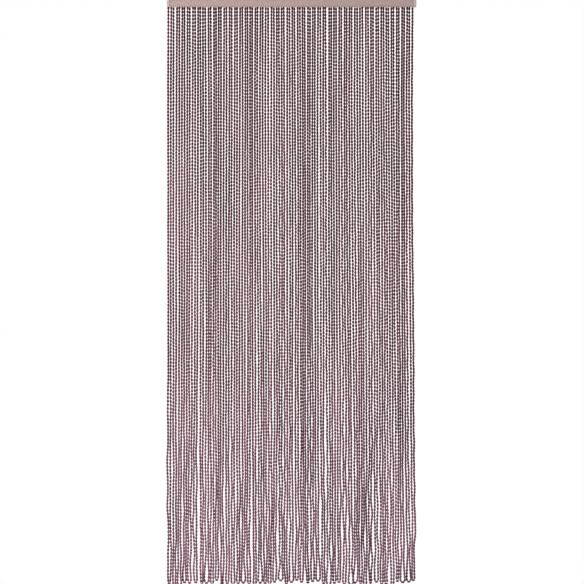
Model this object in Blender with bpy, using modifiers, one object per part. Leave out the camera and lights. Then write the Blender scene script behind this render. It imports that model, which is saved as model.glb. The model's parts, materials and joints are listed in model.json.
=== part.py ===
"""Bead door curtain: a slim rail, its two end caps and a comb of hanging bead loops.

Metres, +Z up. The origin is the centre of the rail's back face, which lies against
the wall or the lintel of a doorway. The front of the curtain looks towards -Y.
"""

import math
from typing import NamedTuple

import bmesh
import bpy
from mathutils import Matrix, Vector

GAP = 0.0003  # between two pieces that touch in the real thing

# The rail is a channel, open along its bottom, with a rolled bead under its front.
RAIL_LENGTH = 0.9  # over both end caps
RAIL_HEIGHT = 0.025
RAIL_DEPTH = 0.016
RAIL_WALL = 0.0014
RAIL_CORNER = 0.0022  # radius of the upper front edge
RAIL_LIP = 0.0036  # how far each lower lip turns in, from the outer face
RAIL_BEAD = 0.0036  # height of the bead along the lower front edge
RAIL_BEAD_RISE = 0.0007  # how far that bead stands out of the front
ARC_STEPS = 5

# The end caps wrap the rail's front, top and end.
CAP_LENGTH = 0.01
CAP_WALL = 0.0012
CAP_END = 0.002
CAP_CORNER = 0.0008

# The header strip lies on the rail's lips and carries the loops.
STRIP_HEIGHT = 0.005
STRIP_END_PLAY = 0.0007  # to the end cap, each side

# The bead cord zigzags from hole to hole, so loop k runs from hole k to hole k + 1.
LOOP_COUNT = 47
HOLE_PITCH = 0.0189
FIRST_HOLE = -0.4476
LOOP_WIDE = 0.0120  # between a loop's two strands, at the rail
LOOP_NARROW = 0.0093  # and far below it
NARROWING = 0.35  # depth over which most of that happens
STRAND_THICK = 0.0052  # the cord of beads, evened out over beads and gaps
LOWEST = -2.1  # the foot of the deepest loop
RAGGED = 0.018  # the shallowest loop ends this much higher
RAGGED_STEP = 2.399963  # phase from one loop to the next, radians
TURN_STEPS = 4  # along the half circle that closes a loop

# How the loops drift sideways further down.
CALM = 0.35  # the drop over which they hang straight
FLARE = 0.0193  # sideways, for each metre off the still line, at the lower end
STILL_LINE = -0.185
STATIONS = (0.0, 0.13, 0.27, 0.42, 0.55, 0.66, 0.76, 0.85, 0.93, 1.0)  # shares of the drop


class Sway(NamedTuple):
    """One wave that runs through the loops."""

    reach: float  # sideways, at the lower end
    step: float  # phase from one loop to the next, radians
    waves: float  # over the whole drop


SWAYS = (
    Sway(reach=0.0015, step=0.36, waves=0.55),
    Sway(reach=0.0010, step=2.40, waves=1.20),
    Sway(reach=0.0007, step=1.13, waves=2.30),
)


class Finish(NamedTuple):
    """A plain surface."""

    colour: tuple[float, float, float]
    roughness: float
    metallic: float


RAIL_FINISH = Finish(colour=(0.46, 0.34, 0.31), roughness=0.42, metallic=0.0)
CAP_FINISH = Finish(colour=(0.53, 0.41, 0.39), roughness=0.5, metallic=0.0)
BEAD_FINISH = Finish(colour=(0.12, 0.056, 0.07), roughness=0.42, metallic=0.0)

RAIL_TOP = RAIL_HEIGHT / 2
RAIL_BOTTOM = -RAIL_HEIGHT / 2
RAIL_FRONT = -RAIL_DEPTH
RAIL_END = RAIL_LENGTH / 2 - CAP_END - GAP  # half the channel's own length
STRIP_LOW = RAIL_BOTTOM + RAIL_WALL + GAP
STRIP_MIDDLE = RAIL_FRONT / 2  # the strands hang in this plane


def clear_scene():
    for item in list(bpy.data.objects):
        bpy.data.objects.remove(item, do_unlink=True)


def new_collection(name):
    collection = bpy.data.collections.new(name)
    bpy.context.scene.collection.children.link(collection)
    return collection


def material(name, finish):
    made = bpy.data.materials.new(name)
    made.use_nodes = True
    shader = made.node_tree.nodes["Principled BSDF"]
    shader.inputs["Base Color"].default_value = (*finish.colour, 1.0)
    shader.inputs["Roughness"].default_value = finish.roughness
    shader.inputs["Metallic"].default_value = finish.metallic
    made.diffuse_color = (*finish.colour, 1.0)
    return made


def place(item, collection):
    collection.objects.link(item)
    return item


def as_guide(item, collection):
    item.hide_render = True
    item.display_type = "WIRE"
    return place(item, collection)


def box_mesh(name, low, high):
    """A box between two corners."""
    low, high = Vector(low), Vector(high)
    mesh = bpy.data.meshes.new(name)
    made = bmesh.new()
    bmesh.ops.create_cube(made, size=1.0)
    bmesh.ops.scale(made, vec=high - low, verts=made.verts)
    bmesh.ops.translate(made, vec=(low + high) / 2, verts=made.verts)
    made.to_mesh(mesh)
    made.free()
    return mesh


def arc(centre, radius, start, end, steps=ARC_STEPS):
    """Points on an arc, angles in degrees, both ends included."""
    angles = [math.radians(start + (end - start) * i / steps) for i in range(steps + 1)]
    return [
        (centre[0] + radius * math.cos(angle), centre[1] + radius * math.sin(angle))
        for angle in angles
    ]


def rail_outline():
    """The channel's section. First number: out of the wall. Second: up."""
    top, bottom, wall = RAIL_TOP, RAIL_BOTTOM, RAIL_WALL
    corner, bead = RAIL_CORNER, RAIL_BEAD / 2
    bulge = math.degrees(2 * math.atan(RAIL_BEAD_RISE / bead))
    bulge_radius = bead / math.sin(math.radians(bulge))
    bulge_centre = (RAIL_DEPTH + RAIL_BEAD_RISE - bulge_radius, bottom + bead)
    corner_centre = (RAIL_DEPTH - corner, top - corner)
    front_lip = RAIL_DEPTH - RAIL_LIP
    outline = [(0.0, top), (0.0, bottom), (RAIL_LIP, bottom), (RAIL_LIP, bottom + wall)]
    outline += [(wall, bottom + wall), (wall, top - wall)]
    outline += arc(corner_centre, corner - wall, 90, 0)
    outline += [(RAIL_DEPTH - wall, bottom + wall)]
    outline += [(front_lip, bottom + wall), (front_lip, bottom)]
    outline += arc(bulge_centre, bulge_radius, -bulge, bulge)
    outline += arc(corner_centre, corner, 0, 90)
    return outline


def outline_curve(name, outline, half_length):
    """A flat outline, filled and extruded both ways."""
    curve = bpy.data.curves.new(name, "CURVE")
    curve.dimensions = "2D"
    curve.fill_mode = "BOTH"
    curve.extrude = half_length
    spline = curve.splines.new("POLY")
    spline.points.add(len(outline) - 1)
    for point, (along, up) in zip(spline.points, outline):
        point.co = (along, up, 0.0, 1.0)
    spline.use_cyclic_u = True
    return curve


def across_the_doorway():
    """Turns an outline's plane so that it is extruded along X, its first axis to -Y."""
    return Matrix(((0, 0, -1, 0), (-1, 0, 0, 0), (0, 1, 0, 0), (0, 0, 0, 1)))


def make_rail(collection):
    rail = bpy.data.objects.new("rail", outline_curve("rail", rail_outline(), RAIL_END))
    rail.matrix_world = across_the_doorway()
    rail.data.materials.append(material("rail_finish", RAIL_FINISH))
    return place(rail, collection)


def box_from(name, across, out, up):
    """A box object from its extents along X, Y and Z, each given in either order."""
    low, high = zip(sorted(across), sorted(out), sorted(up))
    return bpy.data.objects.new(name, box_mesh(name, low, high))


def make_end_cap(name, side, collection, cutters):
    """A moulded cap. side is -1 at the left end and 1 at the right end."""
    end = side * RAIL_LENGTH / 2
    inner = end - side * CAP_LENGTH
    skin = GAP + CAP_WALL
    front = RAIL_FRONT - RAIL_BEAD_RISE - skin
    cap = box_from(name, (end, inner), (front, -GAP), (RAIL_BOTTOM, RAIL_TOP + skin))
    pocket = box_from(
        name + "_pocket",
        across=(end - side * CAP_END, inner - side * CAP_LENGTH),
        out=(front + CAP_WALL, RAIL_DEPTH),
        up=(RAIL_BOTTOM - RAIL_HEIGHT, RAIL_TOP + GAP),
    )
    as_guide(pocket, cutters)
    rounding = cap.modifiers.new("rounding", "BEVEL")
    rounding.width = CAP_CORNER
    rounding.segments = 2
    rounding.limit_method = "ANGLE"
    hollow = cap.modifiers.new("pocket", "BOOLEAN")
    hollow.operation = "DIFFERENCE"
    hollow.solver = "EXACT"
    hollow.object = pocket
    cap.data.materials.append(material(name + "_finish", CAP_FINISH))
    return place(cap, collection)


def loop_spacing(depth):
    return LOOP_NARROW + (LOOP_WIDE - LOOP_NARROW) * math.exp(-depth / NARROWING)


def loop_drop(index):
    """How far a loop hangs below the rail."""
    deepest = RAIL_BOTTOM - LOWEST
    return deepest - RAGGED * (0.5 + 0.5 * math.sin(RAGGED_STEP * index))


def loop_centre(index, depth):
    """The sideways place of a loop's middle, this far below the rail."""
    still = FIRST_HOLE + (index + 0.5) * HOLE_PITCH
    fall = max(0.0, (depth - CALM) / (RAIL_BOTTOM - LOWEST - CALM))
    moved = FLARE * (still - STILL_LINE) * fall
    for sway in SWAYS:
        phase = sway.step * index + 2 * math.pi * sway.waves * fall
        moved += sway.reach * fall * math.sin(phase)
    return still + moved


def loop_route(index):
    """Points down one strand, round the turn and up the other, as (x, z)."""
    drop = loop_drop(index)
    turn_radius = loop_spacing(drop) / 2
    straight = drop - turn_radius - STRAND_THICK / 2
    sides = {-1: [], 1: []}
    for share in STATIONS:
        depth = straight * share
        middle = loop_centre(index, depth)
        for side, points in sides.items():
            across = middle + side * loop_spacing(depth) / 2
            points.append((across, RAIL_BOTTOM - depth))
    for side, points in sides.items():
        points.insert(0, (points[0][0], STRIP_LOW + STRIP_HEIGHT / 2))
    turn_centre = (loop_centre(index, straight), RAIL_BOTTOM - straight)
    turn = arc(turn_centre, turn_radius, 180, 360, TURN_STEPS)
    return sides[-1] + turn[1:-1] + sides[1][::-1]


def strand_section(collection):
    """The square section that is swept along the loops."""
    half = STRAND_THICK / 2
    corners = [(-half, -half), (half, -half), (half, half), (-half, half)]
    curve = bpy.data.curves.new("strand_section", "CURVE")
    curve.dimensions = "2D"
    curve.fill_mode = "NONE"
    spline = curve.splines.new("POLY")
    spline.points.add(len(corners) - 1)
    for point, (along, up) in zip(spline.points, corners):
        point.co = (along, up, 0.0, 1.0)
    spline.use_cyclic_u = True
    return as_guide(bpy.data.objects.new("strand_section", curve), collection)


def make_loops(cutters):
    """All the loops as one mesh of closed tubes, to be joined with the strip."""
    curve = bpy.data.curves.new("bead_loops", "CURVE")
    curve.dimensions = "2D"
    curve.fill_mode = "NONE"
    curve.bevel_mode = "OBJECT"
    curve.bevel_object = strand_section(cutters)
    curve.use_fill_caps = True
    for index in range(LOOP_COUNT):
        route = loop_route(index)
        spline = curve.splines.new("POLY")
        spline.points.add(len(route) - 1)
        for point, (across, up) in zip(spline.points, route):
            point.co = (across, up, 0.0, 1.0)
    guide = bpy.data.objects.new("bead_loops_guide", curve)
    upright = Matrix.Rotation(math.pi / 2, 4, "X")
    guide.matrix_world = Matrix.Translation((0, STRIP_MIDDLE, 0)) @ upright
    place(guide, cutters)
    return as_mesh(guide, "bead_loops", cutters)


def as_mesh(guide, name, collection):
    """A curve made a mesh, with its loose caps welded on."""
    bpy.context.view_layer.update()
    graph = bpy.context.evaluated_depsgraph_get()
    mesh = bpy.data.meshes.new_from_object(guide.evaluated_get(graph))
    welded = bmesh.new()
    welded.from_mesh(mesh)
    bmesh.ops.remove_doubles(welded, verts=welded.verts, dist=1e-6)
    bmesh.ops.recalc_face_normals(welded, faces=welded.faces)
    welded.to_mesh(mesh)
    welded.free()
    made = bpy.data.objects.new(name, mesh)
    made.matrix_world = guide.matrix_world
    bpy.data.objects.remove(guide, do_unlink=True)
    return as_guide(made, collection)


def make_strand_comb(collection, cutters):
    """The header strip with every loop joined to it."""
    half_length = RAIL_LENGTH / 2 - CAP_END - STRIP_END_PLAY
    half_depth = RAIL_DEPTH / 2 - RAIL_WALL - GAP
    low = (-half_length, STRIP_MIDDLE - half_depth, STRIP_LOW)
    high = (half_length, STRIP_MIDDLE + half_depth, STRIP_LOW + STRIP_HEIGHT)
    comb = bpy.data.objects.new("strand_comb", box_mesh("strand_comb", low, high))
    joined = comb.modifiers.new("loops", "BOOLEAN")
    joined.operation = "UNION"
    joined.solver = "EXACT"
    joined.object = make_loops(cutters)
    comb.data.materials.append(material("bead_finish", BEAD_FINISH))
    return place(comb, collection)


def main():
    clear_scene()
    parts = new_collection("bead_door_curtain")
    cutters = new_collection("cutters")
    make_rail(parts)
    make_end_cap("end_cap_left", -1, parts, cutters)
    make_end_cap("end_cap_right", 1, parts, cutters)
    make_strand_comb(parts, cutters)


main()
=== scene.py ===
"""Looks of a bead string door curtain: its rail, end caps, header strip and hanging loops of beads.

Metres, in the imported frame. +Z is up, the rail's flat back lies in the plane y = 0, and the front of the
curtain looks towards -Y. One beaded cord zigzags through the header strip, so that it hangs in long loops.
"""

import json
import logging
import math
from collections.abc import Mapping, Sequence
from dataclasses import dataclass, replace
from enum import Enum
from typing import Any, NamedTuple

import bmesh
import bpy
import numpy as np
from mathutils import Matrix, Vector

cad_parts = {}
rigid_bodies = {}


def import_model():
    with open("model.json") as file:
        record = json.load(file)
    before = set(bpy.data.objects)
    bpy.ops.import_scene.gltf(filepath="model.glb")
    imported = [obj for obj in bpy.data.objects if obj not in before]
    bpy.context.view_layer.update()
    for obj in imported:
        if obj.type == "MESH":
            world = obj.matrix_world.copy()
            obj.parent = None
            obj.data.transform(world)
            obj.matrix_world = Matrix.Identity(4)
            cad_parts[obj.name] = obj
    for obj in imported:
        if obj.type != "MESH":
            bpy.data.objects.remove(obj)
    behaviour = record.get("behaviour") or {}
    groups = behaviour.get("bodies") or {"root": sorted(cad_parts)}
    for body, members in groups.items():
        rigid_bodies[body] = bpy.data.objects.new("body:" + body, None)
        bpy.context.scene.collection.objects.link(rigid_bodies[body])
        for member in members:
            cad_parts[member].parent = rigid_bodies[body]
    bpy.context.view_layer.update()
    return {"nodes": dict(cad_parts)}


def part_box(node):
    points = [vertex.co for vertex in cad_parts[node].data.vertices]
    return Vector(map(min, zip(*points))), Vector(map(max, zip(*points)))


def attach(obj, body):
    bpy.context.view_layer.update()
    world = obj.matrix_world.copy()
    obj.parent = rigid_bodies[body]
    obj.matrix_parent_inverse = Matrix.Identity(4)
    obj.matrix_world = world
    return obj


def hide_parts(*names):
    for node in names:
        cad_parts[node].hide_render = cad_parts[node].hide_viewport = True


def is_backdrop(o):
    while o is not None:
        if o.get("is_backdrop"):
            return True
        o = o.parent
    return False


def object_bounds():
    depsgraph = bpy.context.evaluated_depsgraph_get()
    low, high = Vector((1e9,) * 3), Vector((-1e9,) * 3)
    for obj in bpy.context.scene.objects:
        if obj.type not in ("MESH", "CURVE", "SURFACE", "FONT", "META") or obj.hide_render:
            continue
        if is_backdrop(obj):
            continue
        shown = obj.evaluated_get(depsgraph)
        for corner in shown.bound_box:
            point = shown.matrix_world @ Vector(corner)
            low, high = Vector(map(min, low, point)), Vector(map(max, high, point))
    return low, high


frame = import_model()

LOG = logging.getLogger("bead_door_curtain")

Colour = tuple[float, float, float]
Point = tuple[float, float, float]
Frames = tuple[np.ndarray, np.ndarray, np.ndarray, np.ndarray]

MIDDLE = 0.5  # of a noise or a tone, which run from 0 to 1


class Slot(Enum):
    """The record's material slots."""

    RAIL = "rail"
    CAP = "end_cap"
    BEAD = "bead"


class Node(Enum):
    """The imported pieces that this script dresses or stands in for."""

    RAIL = "rail"
    CAP_LEFT = "end_cap_left"
    CAP_RIGHT = "end_cap_right"
    COMB = "strand_comb"


# ---------------------------------------------------------------------------------------------- shader maths


class Value:
    """A number that a shader works out, so that shader maths reads as Python."""

    def __init__(self, tree: "NodeTree", socket: bpy.types.NodeSocket) -> None:
        """Wraps one output socket of a tree."""
        self.tree = tree
        self.socket = socket

    def maths(self, operation: str, *others: "Value | float", swapped: bool = False) -> "Value":
        """Adds one Math node.

        Args:
            operation: the node's operation.
            others: its further inputs.
            swapped: puts this value after the others.

        Returns:
            The node's result.
        """
        terms = [*others, self] if swapped else [self, *others]
        node = self.tree.add("ShaderNodeMath", {"operation": operation}, dict(enumerate(terms)))
        return Value(self.tree, node.outputs[0])

    def __add__(self, other: "Value | float") -> "Value":
        """Sum."""
        return self.maths("ADD", other)

    def __radd__(self, other: float) -> "Value":
        """Sum, number first."""
        return self.maths("ADD", other, swapped=True)

    def __sub__(self, other: "Value | float") -> "Value":
        """Difference."""
        return self.maths("SUBTRACT", other)

    def __rsub__(self, other: float) -> "Value":
        """Difference, number first."""
        return self.maths("SUBTRACT", other, swapped=True)

    def __mul__(self, other: "Value | float") -> "Value":
        """Product."""
        return self.maths("MULTIPLY", other)

    def __rmul__(self, other: float) -> "Value":
        """Product, number first."""
        return self.maths("MULTIPLY", other, swapped=True)

    def clamped(self) -> "Value":
        """The value, held between 0 and 1."""
        return self.maths("MAXIMUM", 0.0).maths("MINIMUM", 1.0)

    def blended(self, other: "Value", share: float) -> "Value":
        """This value and another as one, by the other one's share."""
        return self * (1.0 - share) + other * share


class NodeTree:
    """The nodes of a material or of the surroundings, added one method call at a time."""

    def __init__(self, tree: bpy.types.NodeTree) -> None:
        """Opens a tree."""
        self.nodes = tree.nodes
        self.links = tree.links

    def add(
        self, kind: str, settings: Mapping[str, Any] | None = None, inputs: Mapping[Any, Any] | None = None
    ) -> bpy.types.Node:
        """Adds any node.

        Args:
            kind: the node's type.
            settings: its own settings, which are set first.
            inputs: a value or a link for each named or numbered socket.

        Returns:
            The node.
        """
        node = self.nodes.new(kind)
        for name, setting in (settings or {}).items():
            setattr(node, name, setting)
        for key, value in (inputs or {}).items():
            self.feed(node.inputs[key], value)
        return node

    def feed(self, socket: bpy.types.NodeSocket, value: Any) -> None:
        """Links a value to a socket, or sets the socket to it.

        Args:
            socket: an input socket.
            value: a Value, an output socket, or what the socket is set to.
        """
        if isinstance(value, Value):
            self.links.new(value.socket, socket)
        elif isinstance(value, bpy.types.NodeSocket):
            self.links.new(value, socket)
        else:
            socket.default_value = value


class ShaderTree(NodeTree):
    """One material's nodes, which end in its Principled surface."""

    MIX_SHARE, MIX_FIRST, MIX_SECOND, MIX_RESULT = 0, 6, 7, 2  # a Mix node's sockets for colours

    def __init__(self, name: str) -> None:
        """Makes a material.

        Args:
            name: what it is called.
        """
        self.material = bpy.data.materials.new(name)
        self.material.use_nodes = True
        super().__init__(self.material.node_tree)
        self.surface = self.nodes["Principled BSDF"]

    def place(self, stretch: Point) -> bpy.types.NodeSocket:
        """The surface point's own coordinates.

        Args:
            stretch: what each axis is multiplied by.

        Returns:
            The stretched coordinates.
        """
        here = self.add("ShaderNodeTexCoord").outputs["Object"]
        scaled = self.add("ShaderNodeVectorMath", {"operation": "MULTIPLY"}, {0: here, 1: stretch})
        return scaled.outputs[0]

    def noise(self, grain: float, detail: float, stretch: Point = (1.0, 1.0, 1.0)) -> Value:
        """Smooth noise, from 0 to 1.

        Args:
            grain: the size of its patches, in metres.
            detail: how many finer layers it has.
            stretch: how much finer it is along each axis.

        Returns:
            The noise.
        """
        inputs = {"Vector": self.place(stretch), "Scale": 1.0 / grain, "Detail": detail}
        return Value(self, self.add("ShaderNodeTexNoise", None, inputs).outputs["Fac"])

    def attribute(self, name: str) -> Value:
        """A number that the mesh carries at each of its points."""
        node = self.add("ShaderNodeAttribute", {"attribute_name": name})
        return Value(self, node.outputs["Fac"])

    def mix(self, share: Value, first: Colour, second: Colour) -> bpy.types.NodeSocket:
        """A colour between two.

        Args:
            share: the second one's share.
            first: a colour.
            second: another.

        Returns:
            The colour.
        """
        inputs = {self.MIX_SHARE: share, self.MIX_FIRST: (*first, 1.0), self.MIX_SECOND: (*second, 1.0)}
        return self.add("ShaderNodeMix", {"data_type": "RGBA"}, inputs).outputs[self.MIX_RESULT]

    def bump(self, height: Value, depth: float) -> None:
        """Raises the surface by a height from 0 to 1, times a depth in metres."""
        node = self.add("ShaderNodeBump", None, {"Height": height, "Distance": depth, "Strength": 1.0})
        self.feed(self.surface.inputs["Normal"], node.outputs["Normal"])

    def finish(self, **inputs: Any) -> bpy.types.Material:
        """Feeds the surface's own sockets, named with _ for a space.

        Args:
            inputs: a value or a link for each socket.

        Returns:
            The material.
        """
        for name, value in inputs.items():
            self.feed(self.surface.inputs[name.replace("_", " ")], value)
        return self.material


# -------------------------------------------------------------------------------------------------- finishes


@dataclass(frozen=True)
class SatinPaint:
    """Satin paint on an extruded metal channel, drawn a little uneven along its length."""

    pale: Colour = (0.552, 0.450, 0.432)
    deep: Colour = (0.500, 0.407, 0.390)
    cloud: float = 0.09  # width of the broad patches
    cloud_stretch: Point = (0.35, 1.0, 1.0)  # which are longer along the rail
    lines: float = 0.0016  # width of the drawn lines
    line_stretch: Point = (0.01, 1.0, 1.0)  # which run along the rail
    lines_in_tone: float = 0.25  # the lines' share in the colour's unevenness
    lines_in_shine: float = 0.4  # in the roughness's
    lines_in_skin: float = 0.2  # and in the relief
    roughness: float = 0.36
    uneven: float = 0.14  # how much the roughness differs
    grain: float = 0.0014  # width of the fine skin's dimples
    peel: float = 0.000006  # and depth of the relief
    coat: float = 0.12
    coat_roughness: float = 0.3

    def material(self) -> bpy.types.Material:
        """Makes the paint.

        Returns:
            The material.
        """
        tree = ShaderTree("satin_taupe_paint")
        cloud = tree.noise(self.cloud, 3.0, self.cloud_stretch)
        drawn = tree.noise(self.lines, 2.0, self.line_stretch)
        skin = tree.noise(self.grain, 1.0)
        tree.bump(skin.blended(drawn, self.lines_in_skin), self.peel)
        tone = cloud.blended(drawn, self.lines_in_tone).clamped()
        shine = cloud.blended(drawn, self.lines_in_shine)
        return tree.finish(
            Base_Color=tree.mix(tone, self.deep, self.pale),
            Roughness=self.roughness + (shine - MIDDLE) * self.uneven,
            Coat_Weight=self.coat,
            Coat_Roughness=self.coat_roughness,
        )


@dataclass(frozen=True)
class MouldedPlastic:
    """Plastic moulded in a finely spark-eroded tool."""

    name: str
    pale: Colour
    deep: Colour
    roughness: float = 0.5
    uneven: float = 0.2  # how much the roughness differs
    cloud: float = 0.006  # width of the faint patches
    grain: float = 0.0007  # width of the spark marks
    grain_in_tone: float = 0.3  # and their share in the colour's unevenness
    relief: float = 0.00001  # their depth

    def material(self) -> bpy.types.Material:
        """Makes the plastic.

        Returns:
            The material.
        """
        tree = ShaderTree(self.name)
        cloud = tree.noise(self.cloud, 2.0)
        spark = tree.noise(self.grain, 2.0)
        tree.bump(spark, self.relief)
        return tree.finish(
            Base_Color=tree.mix(cloud.blended(spark, self.grain_in_tone).clamped(), self.deep, self.pale),
            Roughness=self.roughness + (spark - MIDDLE) * self.uneven,
        )


@dataclass(frozen=True)
class BeadGloss:
    """Dark beads with a soft shine, each a little different in tone."""

    deep: Colour = (0.114, 0.0550, 0.066)
    pale: Colour = (0.240, 0.122, 0.148)
    roughness: float = 0.42
    uneven: float = 0.16  # how much the roughness differs
    specular: float = 0.2
    patch: float = 0.05  # width of the paler and deeper patches over many strands
    patch_stretch: float = 0.12  # below 1, so they are longer than wide
    broad: float = 4.0  # width of the broad patches, as a multiple of the others'
    broad_stretch: float = 3.0  # and their stretch, likewise
    patch_contrast: float = 3.6
    patchiness: float = 0.45  # the patches' share in the tone, the rest being each bead's own
    bloom: float = 0.30  # a soft light edge
    bloom_roughness: float = 0.45
    bloom_tint: Colour = (1.0, 0.62, 0.74)

    def material(self) -> bpy.types.Material:
        """Makes the finish, from the tone that the beads' mesh carries.

        Returns:
            The material.
        """
        tree = ShaderTree("aubergine_bead")
        tone = tree.attribute("tone")
        cloud = tree.noise(self.patch, 1.0, (1.0, 1.0, self.patch_stretch))
        broad = tree.noise(self.patch * self.broad, 1.0, (1.0, 1.0, self.patch_stretch * self.broad_stretch))
        patches = (cloud.blended(broad, 0.5) - MIDDLE) * self.patch_contrast + MIDDLE
        share = tone.blended(patches, self.patchiness)
        return tree.finish(
            Base_Color=tree.mix(share.clamped(), self.deep, self.pale),
            Roughness=self.roughness + (cloud - MIDDLE) * self.uneven,
            Specular_IOR_Level=self.specular,
            Sheen_Weight=self.bloom,
            Sheen_Roughness=self.bloom_roughness,
            Sheen_Tint=(*self.bloom_tint, 1.0),
        )


@dataclass(frozen=True)
class PaleFloor:
    """A plain, nearly white studio floor."""

    colour: Colour = (0.86, 0.86, 0.86)
    roughness: float = 0.7

    def material(self) -> bpy.types.Material:
        """Makes the floor's surface."""
        return ShaderTree("pale_floor").finish(Base_Color=(*self.colour, 1.0), Roughness=self.roughness)


# ---------------------------------------------------------------------------------------------- mesh helpers


def link(item: bpy.types.Object) -> bpy.types.Object:
    """Puts an object in the scene."""
    bpy.context.scene.collection.objects.link(item)
    return item


def object_from(
    name: str, shape: bmesh.types.BMesh, material: bpy.types.Material | None = None
) -> bpy.types.Object:
    """Makes an object of a bmesh, and frees the bmesh.

    Args:
        name: the piece's name.
        shape: its shape.
        material: its finish, if it has one.

    Returns:
        The object.
    """
    mesh = bpy.data.meshes.new(name)
    shape.to_mesh(mesh)
    shape.free()
    if material:
        mesh.materials.append(material)
    return link(bpy.data.objects.new(name, mesh))


def box_between(low: Sequence[float], high: Sequence[float]) -> bmesh.types.BMesh:
    """Makes a box.

    Args:
        low: its lowest corner.
        high: its highest.

    Returns:
        The box.
    """
    low, high = Vector(low), Vector(high)
    shape = bmesh.new()
    bmesh.ops.create_cube(shape, size=1.0)
    bmesh.ops.scale(shape, vec=high - low, verts=shape.verts)
    bmesh.ops.translate(shape, vec=(low + high) / 2, verts=shape.verts)
    return shape


def rounded_slots(
    centres: Sequence[Vector], length: float, width: float, height: float, sides: int
) -> bpy.types.Object:
    """Upright prisms with round ends, as one cutter.

    Args:
        centres: the middle of each.
        length: along X, over both round ends.
        width: along Y.
        height: along Z.
        sides: how many flats make up each round end.

    Returns:
        The cutter.
    """
    rim = []
    for end in (-1, 1):
        for i in range(sides + 1):
            angle = math.pi * i / sides - end * math.pi / 2
            across = end * (length - width) / 2 + width / 2 * math.cos(angle)
            rim.append((across, width / 2 * math.sin(angle)))
    shape = bmesh.new()
    for centre in centres:
        lower = [shape.verts.new(centre + Vector((x, y, -height / 2))) for x, y in rim]
        upper = [shape.verts.new(centre + Vector((x, y, height / 2))) for x, y in rim]
        shape.faces.new(reversed(lower))
        shape.faces.new(upper)
        for i in range(len(rim)):
            j = (i + 1) % len(rim)
            shape.faces.new((lower[i], lower[j], upper[j], upper[i]))
    bmesh.ops.recalc_face_normals(shape, faces=shape.faces)
    return object_from("slots", shape)


def apply_modifiers(item: bpy.types.Object) -> None:
    """Bakes an object's modifiers into its mesh.

    Args:
        item: the object.
    """
    graph = bpy.context.evaluated_depsgraph_get()
    mesh = bpy.data.meshes.new_from_object(item.evaluated_get(graph))
    item.modifiers.clear()
    item.data = mesh


def mesh_of(name: str, points: np.ndarray, quads: np.ndarray, triangles: np.ndarray) -> bpy.types.Mesh:
    """Makes a smooth mesh from arrays.

    Args:
        name: the mesh's name.
        points: one row of x, y, z for each point.
        quads: one row of four points for each four-sided face.
        triangles: one row of three points for each triangle.

    Returns:
        The mesh.
    """
    corners = np.concatenate([quads.ravel(), triangles.ravel()]).astype(np.int32)
    sizes = np.concatenate([np.full(len(quads), 4), np.full(len(triangles), 3)]).astype(np.int32)
    starts = np.concatenate([[0], np.cumsum(sizes)[:-1]]).astype(np.int32)
    mesh = bpy.data.meshes.new(name)
    mesh.vertices.add(len(points))
    mesh.vertices.foreach_set("co", points.astype(np.float32).ravel())
    mesh.loops.add(len(corners))
    mesh.loops.foreach_set("vertex_index", corners)
    mesh.polygons.add(len(sizes))
    mesh.polygons.foreach_set("loop_start", starts)
    mesh.update(calc_edges=True)
    mesh.shade_smooth()
    return mesh


# ----------------------------------------------------------------------------------------- rail and its ends


@dataclass(frozen=True)
class Rail:
    """The channel and its two caps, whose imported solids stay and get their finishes."""

    paint: SatinPaint = SatinPaint()
    cap_plastic: MouldedPlastic = MouldedPlastic(
        "moulded_cap", pale=(0.600, 0.522, 0.512), deep=(0.550, 0.475, 0.466)
    )

    def dress(self) -> None:
        """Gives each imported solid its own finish."""
        self.coat(Node.RAIL, Slot.RAIL, self.paint.material())
        plastic = self.cap_plastic.material()
        for cap in (Node.CAP_LEFT, Node.CAP_RIGHT):
            self.coat(cap, Slot.CAP, plastic)

    def coat(self, node: Node, slot: Slot, material: bpy.types.Material) -> None:
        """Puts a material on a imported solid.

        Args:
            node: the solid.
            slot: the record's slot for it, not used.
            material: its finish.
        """
        solid = frame["nodes"][node.value]
        solid.data.materials.clear()
        solid.data.materials.append(material)
        LOG.info("%s: dressed in %s", node.value, material.name)


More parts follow.
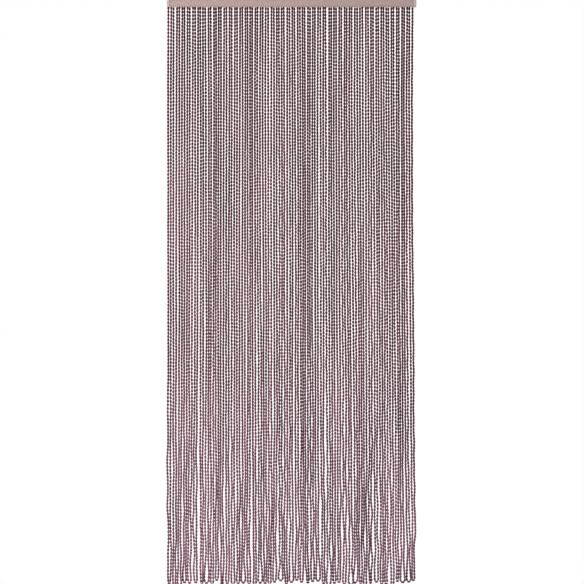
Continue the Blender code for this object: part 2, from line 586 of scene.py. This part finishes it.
@dataclass(frozen=True)
class HeaderStrip:
    """The moulded strip in the rail: a bridge wherever the cord turns over it, and a slot on each side."""

    height: float = 0.005
    end_play: float = 0.0004  # from the rail's end to the strip's
    slot_length: float = 0.0052
    slot_width: float = 0.0026
    slot_offset: float = 0.0037  # from the middle of the bridge to the middle of either slot
    slot_sides: int = 7  # flats in each round end, 26 degrees apart, which the bevel leaves alone
    edge: float = 0.0003
    edge_steps: int = 2
    plastic: MouldedPlastic = MouldedPlastic(
        "moulded_strip", pale=(0.300, 0.215, 0.200), deep=(0.250, 0.175, 0.160), roughness=0.45
    )

    def box(self) -> tuple[Vector, Vector]:
        """The strip's place: it fills the comb's upper edge, between the caps.

        Returns:
            Its lowest and its highest corner.
        """
        comb_low, comb_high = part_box(Node.COMB.value)
        rail_low, rail_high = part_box(Node.RAIL.value)
        low = Vector((rail_low.x + self.end_play, comb_low.y, comb_high.z - self.height))
        high = Vector((rail_high.x - self.end_play, comb_high.y, comb_high.z))
        return low, high

    def build(self, bridges: Sequence[float]) -> None:
        """Makes the strip.

        Args:
            bridges: where the cord turns over it, along X.
        """
        low, high = self.box()
        strip = object_from("header_strip", box_between(low, high), self.plastic.material())
        middle = (low + high) / 2
        places = [bridge + self.slot_offset for bridge in bridges[:-1]]
        places += [bridge - self.slot_offset for bridge in bridges[1:]]
        centres = [Vector((across, middle.y, middle.z)) for across in places]
        through = self.height * 3
        cutter = rounded_slots(centres, self.slot_length, self.slot_width, through, self.slot_sides)
        cut = strip.modifiers.new("slots", "BOOLEAN")
        cut.operation = "DIFFERENCE"
        cut.solver = "EXACT"
        cut.object = cutter
        rounding = strip.modifiers.new("edge", "BEVEL")
        rounding.width = self.edge
        rounding.segments = self.edge_steps
        rounding.limit_method = "ANGLE"
        apply_modifiers(strip)
        bpy.data.objects.remove(cutter, do_unlink=True)
        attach(strip, "root")
        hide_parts(Node.COMB.value)
        LOG.info("header_strip: %d slots, %d faces", len(centres), len(strip.data.polygons))


# ----------------------------------------------------------------------------------------- how the loops hang


@dataclass(frozen=True)
class Wave:
    """One slow wave down a strand, which grows towards the lower end."""

    length: float  # from crest to crest
    reach: float  # at the lower end
    start: float  # the drop at which it sets in
    power: float = 1.3  # how late it grows
    most: float = 1.1  # limit of its growth, which is 1 at the lower end

    def along(self, depth: np.ndarray, deepest: float, phase: np.ndarray, size: np.ndarray) -> np.ndarray:
        """The wave, one row for each depth and one column for each phase.

        Args:
            depth: distances below the rail.
            deepest: the depth at which the wave has its full reach.
            phase: one for each strand or loop, in radians.
            size: how large the wave is on each, 1 being usual.

        Returns:
            Sideways distances.
        """
        grown = np.clip((depth - self.start) / (deepest - self.start), 0.0, self.most) ** self.power
        swing = np.sin(2 * math.pi * depth[:, None] / self.length + phase)
        return self.reach * grown[:, None] * swing * size


class Drift(NamedTuple):
    """A wave that all the loops share, across the curtain and down it."""

    reach: float
    step: float  # phase from loop to loop, in radians
    waves: float  # how many there are over the drop

    def over(self, index: np.ndarray, share: np.ndarray, grown: np.ndarray, phase: float = 0.0) -> np.ndarray:
        """The wave, one row for each level and one column for each loop.

        Args:
            index: the loops' numbers.
            share: how far down each level is, as a share of the drop.
            grown: how much of its reach the wave has at each level.
            phase: where it starts, in radians.

        Returns:
            Sideways distances.
        """
        return self.reach * grown * np.sin(self.step * index + 2 * math.pi * self.waves * share + phase)


@dataclass
class LoopField:
    """Where each of the loops' two strands hangs, level by level."""

    count: int = 47
    hole_pitch: float = 0.0189
    first_hole: float = -0.4476
    wide: float = 0.0115  # between a loop's strands, at the rail
    narrow: float = 0.0093  # and far below it
    narrowing: float = 0.35  # the drop over which that changes
    calm: float = 0.35  # the drop above which the comb hangs straight
    flare: float = 0.0165  # how much the loops spread apart below it, as a share
    still_line: float = -0.185  # x of the line that they spread from
    rail_bottom: float = -0.0125
    lowest: float = -2.1
    plane: float = -0.0080  # the strands' y at the rail
    step: float = 0.006  # from level to level
    clear: float = 0.0074  # least distance between two strands' centres
    hindmost: float = -0.0040  # a strand's rearmost y, with the wall behind it
    foot_mean: float = 2.0800  # how far the loops hang below the rail
    foot_spread: float = 0.0065
    foot_spread_most: float = 1.9  # the greatest difference from the mean, in spreads
    foot_shut: float = 0.5  # share of the feet whose strands don't spread apart
    foot_open_reach: float = 0.08  # height over which the others' do
    foot_open_most: float = 0.0050
    foot_in_line: float = 0.55  # share of the feet that don't come forward or go back
    foot_lean_over: float = 0.2  # the next share, over which the lean becomes whole
    foot_lean_reach: float = 0.16  # height over which they lean
    foot_lean_most: float = 0.0050
    wave_size: float = 0.8  # a wave's usual size, as a share of its reach
    wave_stretch: tuple[float, float] = (0.8, 1.25)  # its least and greatest length, as a share
    loop_lean: float = 0.7  # a loop's wander to front and back, as a share of that to the side
    strand_lean: float = 0.5  # and a strand's
    swing: float = 0.0008  # how far off its plane a strand may hang, at the rail
    swing_grows: float = 0.014  # how much further for each metre below it
    swing_most: float = 0.0090
    settling_rounds: int = 90
    settling_neighbours: int = 4  # how many strands to each side are kept clear
    settling_damping: float = 0.45
    least_gap: float = 1e-5  # stands for a smaller distance where one is divided by
    seed: int = 11
    shared: tuple[Drift, ...] = (
        Drift(0.0015, 0.36, 0.55),
        Drift(0.0010, 2.40, 1.20),
        Drift(0.0007, 1.13, 2.30),
    )
    loop_waves: tuple[Wave, ...] = (
        Wave(0.95, 0.0003, 0.10, 1.0),
        Wave(0.42, 0.0006, 0.50),
        Wave(0.24, 0.0005, 1.10),
    )
    strand_waves: tuple[Wave, ...] = (
        Wave(1.70, 0.0005, 0.00, 0.6),
        Wave(0.80, 0.0004, 0.10, 0.9),
        Wave(0.33, 0.0009, 0.80, 1.4),
        Wave(0.20, 0.0010, 1.15, 1.4),
        Wave(0.125, 0.0010, 1.30, 1.5),
        Wave(0.07, 0.0004, 0.00, 0.3),
    )
    twist_waves: tuple[Wave, ...] = (  # whose reach is in radians
        Wave(1.10, 0.18, 0.15, 1.0),
        Wave(0.45, 0.22, 0.80, 1.3),
        Wave(0.25, 0.18, 1.30, 1.4),
    )
    crowding: tuple[Drift, ...] = (
        Drift(0.0013, 0.41, 0.25),
        Drift(0.0009, 0.74, -0.40),
        Drift(0.0008, 1.10, 0.35),
        Drift(0.0006, 1.38, -0.30),
        Drift(0.0004, 1.72, 0.50),
        Drift(0.0003, 2.08, -0.45),
    )
    crowding_start: float = 0.4  # share of the crowding that there is at the rail
    crowding_grows: float = 0.3  # the drop over which it becomes whole
    slot_play: float = 0.0008  # how far off its slot's middle a pair of strands usually hangs
    slot_play_most: float = 0.0013
    slot_play_lasts: float = 1.2  # and the drop over which that fades

    def __post_init__(self) -> None:
        """Draws each loop's drop and the kind of its foot, and lays out the levels."""
        self.chance = np.random.default_rng(self.seed)
        most = self.foot_spread_most
        self.drops = self.foot_mean + self.foot_spread * self.chance.normal(size=self.count).clip(-most, most)
        self.depth = np.arange(0.0, self.drops.max() + self.step, self.step)
        self.feet = self.chance.random(self.count)

    @property
    def holes(self) -> list[float]:
        """Where the cord turns over the header strip, along X."""
        return [self.first_hole + i * self.hole_pitch for i in range(self.count + 1)]

    def wander(self, waves: Sequence[Wave], columns: int) -> np.ndarray:
        """Sums some waves, with phases, sizes and lengths by chance.

        Args:
            waves: the waves.
            columns: how many strands or loops there are.

        Returns:
            The sum, one row for each level and one column for each strand or loop.
        """
        total = np.zeros((len(self.depth), columns))
        for wave in waves:
            phase = self.chance.uniform(0, 2 * math.pi, columns)
            size = self.chance.rayleigh(self.wave_size, columns)
            stretched = replace(wave, length=wave.length * self.chance.uniform(*self.wave_stretch))
            total += stretched.along(self.depth, self.foot_mean, phase, size)
        return total

    def loop_middles(self) -> np.ndarray:
        """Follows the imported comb's own line, with crowding and a wander added.

        Returns:
            The x of each loop's middle, one row for each level.
        """
        index = np.arange(self.count)
        still = self.first_hole + (index + 0.5) * self.hole_pitch
        fall = np.clip((self.depth - self.calm) / (self.rail_bottom - self.lowest - self.calm), 0.0, None)
        fall = fall[:, None]
        moved = self.flare * (still - self.still_line) * fall
        for drift in self.shared:
            moved = moved + drift.over(index, fall, fall)
        return still + moved + self.crowded() + self.wander(self.loop_waves, self.count)

    def crowded(self) -> np.ndarray:
        """Lets the loops bunch up and thin out down the curtain.

        Returns:
            How far each loop moves to the side, one row for each level.
        """
        index = np.arange(self.count)
        share = self.depth[:, None] / self.foot_mean
        start = self.crowding_start
        grown = start + (1 - start) * np.clip(self.depth[:, None] / self.crowding_grows, 0.0, 1.0)
        total = np.zeros((len(self.depth), self.count))
        for drift in self.crowding:
            total += drift.over(index, share, grown, self.chance.uniform(0, 2 * math.pi))
        return total

    def strands(self) -> tuple[np.ndarray, np.ndarray]:
        """Where every strand is at each level.

        Returns:
            The strands' x and y, one row for each level, a loop's two strands side by side.
        """
        middles = self.loop_middles()
        spacing = self.narrow + (self.wide - self.narrow) * np.exp(-self.depth / self.narrowing)
        half = np.repeat(spacing[:, None] / 2, self.count, axis=1) + self.foot_opening()
        twist = self.wander(self.twist_waves, self.count)
        lean_waves = [replace(wave, reach=wave.reach * self.loop_lean) for wave in self.loop_waves]
        lean = self.wander(lean_waves, self.count) + self.foot_lean()
        across = np.empty((len(self.depth), 2 * self.count))
        out = np.empty_like(across)
        shift = self.slot_shift()
        left = (-1, slice(0, None, 2), slice(None, -1))
        right = (1, slice(1, None, 2), slice(1, None))
        for side, columns, holes in (left, right):
            across[:, columns] = middles + side * half * np.cos(twist) + shift[:, holes]
            out[:, columns] = self.plane + lean + side * half * np.sin(twist)
        across += self.wander(self.strand_waves, 2 * self.count)
        out += self.strand_lean * self.wander(self.strand_waves, 2 * self.count)
        return self.settled(across, out)

    def slot_shift(self) -> np.ndarray:
        """Moves each slot's pair of strands off its middle, less and less with depth.

        Returns:
            Sideways distances, one row for each level and one column for each pair.
        """
        most = self.slot_play_most
        shift = self.chance.normal(0.0, self.slot_play, self.count + 1).clip(-most, most)
        return np.exp(-self.depth / self.slot_play_lasts)[:, None] * shift

    def near_foot(self, reach: float) -> np.ndarray:
        """How close each level is to each loop's foot, from 0 at a reach above it to 1, eased."""
        share = np.clip(1 - (self.drops - self.depth[:, None]) / reach, 0.0, 1.0)
        return share * share * (3 - 2 * share)

    def foot_opening(self) -> np.ndarray:
        """How far some loops' strands spread apart towards their foot."""
        wide = np.clip((self.feet - self.foot_shut) / (1 - self.foot_shut), 0.0, 1.0)
        return self.near_foot(self.foot_open_reach) * self.foot_open_most * wide

    def foot_lean(self) -> np.ndarray:
        """Brings a wide foot in front of its neighbours, or behind them.

        Returns:
            Distances towards the back, one row for each level and one column for each loop.
        """
        wide = np.clip((self.feet - self.foot_in_line) / self.foot_lean_over, 0.0, 1.0)
        side = np.where(np.arange(self.count) % 2 == 0, -1.0, 1.0)
        return self.near_foot(self.foot_lean_reach) * self.foot_lean_most * wide * side

    def settled(self, across: np.ndarray, out: np.ndarray) -> tuple[np.ndarray, np.ndarray]:
        """Moves strands that would cut into each other apart.

        Args:
            across: the strands' x at each level.
            out: their y.

        Returns:
            Both, with no two strands nearer than they can be.
        """
        hangs = self.depth[:, None] <= np.repeat(self.drops, 2)[None, :] + self.step
        front = self.plane - self.play()
        back = np.minimum(self.plane + self.play(), self.hindmost)
        for _ in range(self.settling_rounds):
            push_x = np.zeros_like(across)
            push_y = np.zeros_like(out)
            for step in range(1, self.settling_neighbours + 1):
                gap_x = across[:, step:] - across[:, :-step]
                gap_y = out[:, step:] - out[:, :-step]
                near = np.maximum(np.hypot(gap_x, gap_y), self.least_gap)
                lack = np.maximum(self.clear - near, 0.0) * (hangs[:, step:] & hangs[:, :-step])
                share_x = self.settling_damping * lack * gap_x / near
                share_y = self.settling_damping * lack * gap_y / near
                push_x[:, step:] += share_x
                push_x[:, :-step] -= share_x
                push_y[:, step:] += share_y
                push_y[:, :-step] -= share_y
            across += self.eased(push_x)
            out += self.eased(push_y)
            out = np.clip(out, front, back)
        return across, out

    def play(self) -> np.ndarray:
        """How far in front of or behind its plane a strand may hang, at each level."""
        return np.clip(self.swing + self.swing_grows * self.depth, 0.0, self.swing_most)[:, None]

    @staticmethod
    def eased(push: np.ndarray) -> np.ndarray:
        """Spreads a push over the levels next to it.

        Args:
            push: one row for each level.

        Returns:
            Half of it from each level itself, and a quarter from either side.
        """
        eased = push.copy()
        eased[1:-1] = 0.5 * push[1:-1] + 0.25 * (push[:-2] + push[2:])
        return eased


def lengths_along(route: np.ndarray) -> np.ndarray:
    """The length along a route, at each of its points."""
    steps = np.linalg.norm(np.diff(route, axis=0), axis=1)
    return np.concatenate([[0.0], np.cumsum(steps)])


@dataclass(frozen=True)
class Loop:
    """One loop of the cord, from its bridge down, round its foot and up to the next bridge."""

    route: np.ndarray  # points along the cord
    first: float  # length along the cord at which its first bead sits
    foot: float  # its bead at the foot
    last: float  # and its last

    def at(self, places: np.ndarray) -> np.ndarray:
        """The points at these lengths along the cord."""
        lengths = lengths_along(self.route)
        return np.stack([np.interp(places, lengths, self.route[:, axis]) for axis in range(3)], axis=1)


@dataclass
class LoopMaker:
    """Turns the strands' places into the loops' routes."""

    hang: LoopField
    strip_low: Vector
    strip_high: Vector
    over: float = 0.0008  # from the strip's top to the middle of the cord that lies on it
    end_play: float = 0.0020  # from the strip's end to the cord's
    first_bead: float = 0.0057  # least distance from the strip's underside to the first bead's middle
    first_bead_play: float = 0.0044  # and how much more it may be
    foot_steps: int = 9
    foot_height_most: float = 0.0058  # of a round foot, which is half as high as the loop is wide
    foot_sag: float = 0.0012  # and how much lower it hangs
    seed: int = 3

    def __post_init__(self) -> None:
        """Sets up the chance sizes."""
        self.chance = np.random.default_rng(self.seed)

    def loops(self) -> list[Loop]:
        """Works out every loop, left to right."""
        across, out = self.hang.strands()
        return [self.loop(index, across, out) for index in range(self.hang.count)]

    def loop(self, index: int, across: np.ndarray, out: np.ndarray) -> Loop:
        """Makes one loop's route.

        Args:
            index: which loop.
            across: all strands' x at each level.
            out: all strands' y at each level.

        Returns:
            The loop.
        """
        drop = self.hang.drops[index]
        left, right = (self.strand(2 * index + side, drop, across, out) for side in (0, 1))
        route = np.concatenate([left, self.foot(left[-1], right[-1], drop), right[::-1]])
        lengths = lengths_along(route)
        first, last = self.lead(left), lengths[-1] - self.lead(right)
        return Loop(route, first, lengths[len(left) + self.foot_steps // 2], last)

    def lead(self, strand: np.ndarray) -> float:
        """Measures the cord from a strand's start, over the strip, to the strand's first bead.

        Args:
            strand: the strand's points.

        Returns:
            The length.
        """
        start, corner = strand[:2]
        below = self.first_bead + self.first_bead_play * self.chance.random()
        return float(np.linalg.norm(corner - start)) + corner[2] - self.strip_low.z + below

    def strand(self, column: int, drop: float, across: np.ndarray, out: np.ndarray) -> np.ndarray:
        """Makes one strand, from its bridge on the strip down to where the foot's curve begins.

        Args:
            column: which strand.
            drop: how far its loop hangs below the rail.
            across: all strands' x at each level.
            out: all strands' y at each level.

        Returns:
            The strand's points.
        """
        pair = column ^ 1
        last = int(np.searchsorted(self.hang.depth, drop)) - 1
        spread = abs(across[last, column] - across[last, pair])
        rise = self.foot_height(spread)
        keep = self.hang.depth < drop - rise - self.hang.step / 2
        heights = self.hang.rail_bottom - self.hang.depth[keep]
        points = np.stack([across[keep, column], out[keep, column], heights], axis=1)
        corner = points[0].copy()
        corner[2] = self.strip_high.z + self.over
        start = corner.copy()
        hole = self.hang.holes[(column + 1) // 2]
        start[0] = min(max(hole, self.strip_low.x + self.end_play), self.strip_high.x - self.end_play)
        return np.concatenate([[start, corner], points])

    def foot_height(self, spread: float) -> float:
        """How high a foot's curve is, for a loop this wide."""
        return min(spread / 2, self.foot_height_most) + self.foot_sag

    def foot(self, left: np.ndarray, right: np.ndarray, drop: float) -> np.ndarray:
        """Makes the rounded foot between a loop's two strands.

        Args:
            left: the left strand's last point.
            right: the right one's.
            drop: how far the loop hangs below the rail.

        Returns:
            The foot's points, left to right.
        """
        floor = self.hang.rail_bottom - drop
        angles = np.linspace(math.pi, 2 * math.pi, self.foot_steps + 2)[1:-1]
        share = (1 + np.cos(angles)) / 2
        top = left + (right - left) * share[:, None]
        sunk = -np.sin(angles)
        points = top.copy()
        points[:, 2] = top[:, 2] + (floor - top[:, 2]) * sunk
        return points


# ---------------------------------------------------------------------------------------------------- beads


class MeshPart(NamedTuple):
    """A loop's beads or its cord, as arrays."""

    points: np.ndarray
    quads: np.ndarray
    triangles: np.ndarray
    tones: np.ndarray  # how light each point is, from 0 to 1


@dataclass
class BeadString:
    """The beads and the cord between them, as one mesh for each run of loops."""

    loops: list[Loop]
    wide: float = 0.00725  # a bead, across its middle
    long: float = 0.01135  # and along its cord
    end: float = 0.47  # its blunt ends, as a share of its width
    middle: float = 0.36  # its full width, as a share of its length
    wide_spread: float = 0.012  # how much the beads differ, as a share
    wide_range: tuple[float, float] = (0.96, 1.02)
    long_spread: float = 0.02
    long_range: tuple[float, float] = (0.95, 1.0)
    grip: float = 0.35  # from a bead's middle to where it follows the cord, as a share of its length
    cord: float = 0.0014
    pitch: float = 0.01207
    pitch_by_strand: float = 0.038  # how much the pitch differs, as a share
    pitch_by_stretch: float = 0.034
    pitch_stretches: tuple[float, ...] = (0.45, 0.26)  # lengths of the closer and looser stretches
    pitch_range: tuple[float, float] = (-0.09, 0.06)  # how much looser or closer they may be
    pitch_steps: int = 600  # along a loop, in which the pitch is worked out
    tone_by_bead: float = 0.14
    tone_by_stretch: float = 0.14
    tone_stretches: tuple[float, ...] = (2.3, 1.1, 0.4)
    margin: float = 0.01  # left free on each side of the layout, as a share
    sides: int = 7
    cord_sides: int = 3
    loops_in_group: int = 8
    seed: int = 5
    gloss: BeadGloss = BeadGloss()

    def __post_init__(self) -> None:
        """Sets up the chance sizes."""
        self.chance = np.random.default_rng(self.seed)

    def build(self) -> None:
        """Makes every group of loops, left to right."""
        material = self.gloss.material()
        for number, start in enumerate(range(0, len(self.loops), self.loops_in_group), start=1):
            members = self.loops[start : start + self.loops_in_group]
            self.group(f"bead_loops_{number}", members, material)

    def group(self, name: str, members: list[Loop], material: bpy.types.Material) -> None:
        """Makes one run of loops.

        Args:
            name: the piece's name.
            members: its loops.
            material: the beads' finish.
        """
        points, quads, triangles, tones = [], [], [], []
        total = 0
        beads = 0
        for loop in members:
            places = self.bead_places(loop)
            beads += len(places)
            for part in (self.beads(loop, places), self.cord_mesh(loop, places)):
                points.append(part.points)
                quads.append(part.quads + total)
                triangles.append(part.triangles + total)
                tones.append(part.tones)
                total += len(part.points)
        mesh = mesh_of(name, np.concatenate(points), np.concatenate(quads), np.concatenate(triangles))
        self.carry_tone(mesh, np.concatenate(tones))
        self.lay_out(mesh, np.concatenate(points))
        mesh.materials.append(material)
        piece = link(bpy.data.objects.new(name, mesh))
        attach(piece, "root")
        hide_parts(Node.COMB.value)
        LOG.info("%s: %d loops, %d beads", name, len(members), beads)

    def bead_places(self, loop: Loop) -> np.ndarray:
        """Spaces a loop's beads nearly evenly, closer on some stretches than on others, one at the foot.

        Args:
            loop: the loop.

        Returns:
            The length along the cord at which each bead sits.
        """
        along = np.linspace(loop.first, loop.last, self.pitch_steps)
        share = (along - loop.first) / (loop.last - loop.first)
        left, right = self.chance.normal(0.0, self.pitch_by_strand, 2)
        crowd = np.where(share < 0.5, left, right)
        for length in self.pitch_stretches:
            phase = self.chance.uniform(0, 2 * math.pi)
            crowd = crowd + self.pitch_by_stretch * np.sin(2 * math.pi * along / length + phase)
        density = (1 + np.clip(crowd, *self.pitch_range)) / self.pitch
        steps = np.diff(along) * (density[1:] + density[:-1]) / 2
        counted = np.concatenate([[0.0], np.cumsum(steps)])
        foot, last = np.interp(loop.foot, along, counted), counted[-1]
        down = np.linspace(0.0, foot, round(foot) + 1)
        up = np.linspace(foot, last, round(last - foot) + 1)
        return np.interp(np.concatenate([down, up[1:]]), counted, along)

    def frames(self, loop: Loop, places: np.ndarray) -> Frames:
        """Finds how each bead lies.

        Args:
            loop: the loop.
            places: where its beads sit.

        Returns:
            The middle of each bead, and its directions to the side, outward and along the cord.
        """
        reach = self.long * self.grip
        middle = loop.at(places)
        along = loop.at(places + reach) - loop.at(places - reach)
        along /= np.linalg.norm(along, axis=1)[:, None]
        side = np.cross(along, (0.0, 1.0, 0.0))
        side /= np.linalg.norm(side, axis=1)[:, None]
        return middle, side, np.cross(along, side), along

    def profile(self) -> list[tuple[float, float]]:
        """A bead's rings, each a height and a radius, as shares of half its length and width."""
        return [(-1.0, self.end), (-self.middle, 1.0), (self.middle, 1.0), (1.0, self.end)]

    def beads(self, loop: Loop, places: np.ndarray) -> MeshPart:
        """Makes a loop's beads.

        Args:
            loop: the loop.
            places: where its beads sit.

        Returns:
            The beads.
        """
        middle, side, outward, along = self.frames(loop, places)
        number = len(places)
        turn = self.chance.uniform(0, 2 * math.pi, number)
        width = self.wide / 2 * self.chance.normal(1.0, self.wide_spread, number).clip(*self.wide_range)
        length = self.long / 2 * self.chance.normal(1.0, self.long_spread, number).clip(*self.long_range)
        rows = []
        for height, radius in self.profile():
            for i in range(self.sides):
                angle = turn + 2 * math.pi * i / self.sides
                spoke = side * np.cos(angle)[:, None] + outward * np.sin(angle)[:, None]
                rows.append(middle + spoke * (width * radius)[:, None] + along * (length * height)[:, None])
        points = np.stack(rows, axis=1).reshape(-1, 3)
        quads, triangles = self.bead_faces()
        each = len(rows)
        shift = (np.arange(number) * each)[:, None, None]
        tone = np.repeat(self.tones(places), each)
        return MeshPart(points, (quads + shift).reshape(-1, 4), (triangles + shift).reshape(-1, 3), tone)

    def bead_faces(self) -> tuple[np.ndarray, np.ndarray]:
        """Lists one bead's faces, by the order of its points.

        Returns:
            The four-sided faces round it, and the triangles that close its ends.
        """
        rings = len(self.profile())
        quads = []
        for ring in range(rings - 1):
            low, high = ring * self.sides, (ring + 1) * self.sides
            for i in range(self.sides):
                j = (i + 1) % self.sides
                quads.append((low + i, low + j, high + j, high + i))
        return np.array(quads), self.end_faces((rings - 1) * self.sides, self.sides)

    @staticmethod
    def end_faces(final: int, sides: int) -> np.ndarray:
        """Closes both ends of a bead or a cord.

        Args:
            final: the first point of its last ring, the first ring's being 0.
            sides: how many points a ring has.

        Returns:
            One row of three points for each triangle.
        """
        near = [(0, i + 1, i) for i in range(1, sides - 1)]
        far = [(final, final + i, final + i + 1) for i in range(1, sides - 1)]
        return np.array(near + far)

    def cord_mesh(self, loop: Loop, places: np.ndarray) -> MeshPart:
        """Makes the cord, which goes in at one end of each bead and out at the other.

        Args:
            loop: the loop.
            places: where its beads sit.

        Returns:
            The cord.
        """
        lengths = lengths_along(loop.route)
        line, side, outward, _ = self.frames(loop, np.concatenate([lengths[:2], places, lengths[-2:]]))
        rows = []
        for i in range(self.cord_sides):
            angle = 2 * math.pi * (i + 0.5) / self.cord_sides
            rows.append(line + (side * math.cos(angle) + outward * math.sin(angle)) * self.cord / 2)
        points = np.stack(rows, axis=1).reshape(-1, 3)
        number = self.cord_sides
        start = (np.arange(len(line) - 1) * number)[:, None]
        i = np.arange(number)[None, :]
        j = (i + 1) % number
        quads = np.stack([start + i, start + j, start + number + j, start + number + i], axis=-1)
        ends = self.end_faces((len(line) - 1) * number, number)
        return MeshPart(points, quads.reshape(-1, 4), ends, np.full(len(points), MIDDLE))

    def tones(self, places: np.ndarray) -> np.ndarray:
        """Draws how light each bead is: by chance, and slowly changing along the cord.

        Args:
            places: where the beads sit.

        Returns:
            A tone for each, from 0 to 1.
        """
        tone = self.chance.normal(MIDDLE, self.tone_by_bead, len(places))
        for length in self.tone_stretches:
            phase = self.chance.uniform(0, 2 * math.pi)
            tone += self.tone_by_stretch * np.sin(2 * math.pi * places / length + phase)
        return tone.clip(0.0, 1.0)

    @staticmethod
    def carry_tone(mesh: bpy.types.Mesh, tone: np.ndarray) -> None:
        """Stores the tone on the mesh's points."""
        layer = mesh.attributes.new("tone", "FLOAT", "POINT")
        layer.data.foreach_set("value", tone.astype(np.float32))

    def lay_out(self, mesh: bpy.types.Mesh, points: np.ndarray) -> None:
        """Gives a mesh a plain front layout, for the finish that is stored on it.

        Args:
            mesh: the mesh.
            points: its points.
        """
        flat = points[:, [0, 2]]
        low, high = flat.min(0), flat.max(0)
        corners = np.empty(len(mesh.loops), np.int32)
        mesh.loops.foreach_get("vertex_index", corners)
        spots = ((flat - low) / (high - low) * (1 - 2 * self.margin) + self.margin)[corners]
        layer = mesh.uv_layers.new(name="OFBake")
        layer.data.foreach_set("uv", spots.astype(np.float32).ravel())


# --------------------------------------------------------------------------------------------------- studio


@dataclass(frozen=True)
class AreaLight:
    """One soft light that looks at a point."""

    name: str
    place: Point
    target: Point
    power: float
    size: tuple[float, float]  # width and height
    tint: Colour = (1.0, 1.0, 1.0)
    unlit: bpy.types.Object | None = None  # a piece that it doesn't reach

    def build(self) -> None:
        """Puts the light in the scene."""
        lamp = bpy.data.lights.new(self.name, "AREA")
        lamp.shape = "RECTANGLE"
        lamp.size, lamp.size_y = self.size
        lamp.energy = self.power
        lamp.color = self.tint
        item = link(bpy.data.objects.new(self.name, lamp))
        item.visible_camera = False
        item.location = self.place
        item.rotation_euler = (Vector(self.target) - Vector(self.place)).to_track_quat("-Z", "Y").to_euler()
        if self.unlit:
            item.light_linking.receiver_collection = self.lit()

    def lit(self) -> bpy.types.Collection:
        """Collects every piece that the light reaches.

        Returns:
            The pieces.
        """
        pieces = bpy.data.collections.new(f"lit_by_{self.name}_light")
        for piece in bpy.context.scene.objects:
            if piece.type == "MESH" and piece != self.unlit:
                pieces.objects.link(piece)
        return pieces


@dataclass(frozen=True)
class Studio:
    """A pale floor, soft light all round, and a camera that looks straight at the curtain."""

    view_height: float = 2.1083
    view_centre_x: float = 0.0016
    headroom: float = 0.0006  # from the rail's top to the view's
    lens: float = 160.0
    sensor: float = 36.0
    farthest: float = 100.0  # that the camera sees
    backdrop: float = 1.0  # brightness of the white behind the curtain, as seen
    ambient: float = 0.50  # and of the light that it gives
    gamma: float = 0.58
    filter_width: float = 1.45
    floor: PaleFloor = PaleFloor()
    floor_width: float = 6.0
    floor_front: float = -3.2
    floor_back: float = 0.25
    floor_thick: float = 0.02
    floor_drop: float = 0.035  # below the lowest loop

    def build(self, low: Vector) -> None:
        """Sets everything up.

        Args:
            low: the lowest corner of the curtain.
        """
        self.surroundings()
        floor = self.lay_floor(low.z - self.floor_drop)
        for light in self.lights(floor):
            light.build()
        self.aim_camera()

    def surroundings(self) -> None:
        """Puts a plain white all round, and sets how the picture is developed."""
        world = bpy.data.worlds.new("white_studio")
        world.use_nodes = True
        tree = NodeTree(world.node_tree)
        seen = tree.add("ShaderNodeLightPath").outputs["Is Camera Ray"]
        inputs = {"Value": seen, "To Min": self.ambient, "To Max": self.backdrop}
        strength = tree.add("ShaderNodeMapRange", None, inputs).outputs["Result"]
        sky = tree.nodes["Background"]
        tree.feed(sky.inputs["Color"], (1.0, 1.0, 1.0, 1.0))
        tree.feed(sky.inputs["Strength"], strength)
        scene = bpy.context.scene
        scene.world = world
        scene.view_settings.view_transform = "Standard"
        scene.view_settings.gamma = self.gamma
        scene.cycles.filter_width = self.filter_width

    def lay_floor(self, height: float) -> bpy.types.Object:
        """Makes the floor, a thin plate under the curtain.

        Args:
            height: z of its upper face.

        Returns:
            The floor.
        """
        low = (-self.floor_width / 2, self.floor_front, height - self.floor_thick)
        high = (self.floor_width / 2, self.floor_back, height)
        floor = object_from("floor", box_between(low, high), self.floor.material())
        floor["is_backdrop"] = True
        return floor

    def lights(self, floor: bpy.types.Object) -> list[AreaLight]:
        """Lists the lights: the key from the left, a weak one from the right and a low one for the feet.

        Args:
            floor: the floor, which the low light doesn't reach.

        Returns:
            The lights.
        """
        key = AreaLight("key", (-1.9, -2.3, -1.40), (0.0, 0.0, -1.30), power=91.0, size=(1.6, 1.2))
        fill = AreaLight("fill", (2.6, -2.4, -1.0), (0.0, 0.0, -1.0), power=20.0, size=(1.8, 1.8))
        low = AreaLight(
            "low",
            (0.0, -0.60, -2.12),
            (0.0, 0.0, -2.05),
            power=13.0,
            size=(1.7, 0.20),
            tint=(0.70, 0.94, 1.14),
            unlit=floor,
        )
        return [key, fill, low]

    def aim_camera(self) -> None:
        """Sets up a long lens, square on, with the rail's top at the top of the view."""
        lens = bpy.data.cameras.new("front")
        lens.lens = self.lens
        lens.sensor_width = self.sensor
        lens.clip_end = self.farthest
        _, rail_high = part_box(Node.RAIL.value)
        away = self.view_height / 2 * self.lens / (self.sensor / 2)
        camera = link(bpy.data.objects.new("front", lens))
        centre_z = rail_high.z + self.headroom - self.view_height / 2
        camera.location = (self.view_centre_x, LoopField.plane - away, centre_z)
        camera.rotation_euler = (math.pi / 2, 0.0, 0.0)
        bpy.context.scene.camera = camera


def main() -> None:
    """Builds the curtain from the rail down, then the studio."""
    logging.basicConfig(level=logging.INFO, format="%(name)s: %(message)s")
    Rail().dress()
    places = LoopField()
    strip = HeaderStrip()
    strip.build(places.holes)
    loops = LoopMaker(places, *strip.box()).loops()
    BeadString(loops).build()
    Studio().build(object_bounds()[0])


if __name__ == "__main__":
    main()
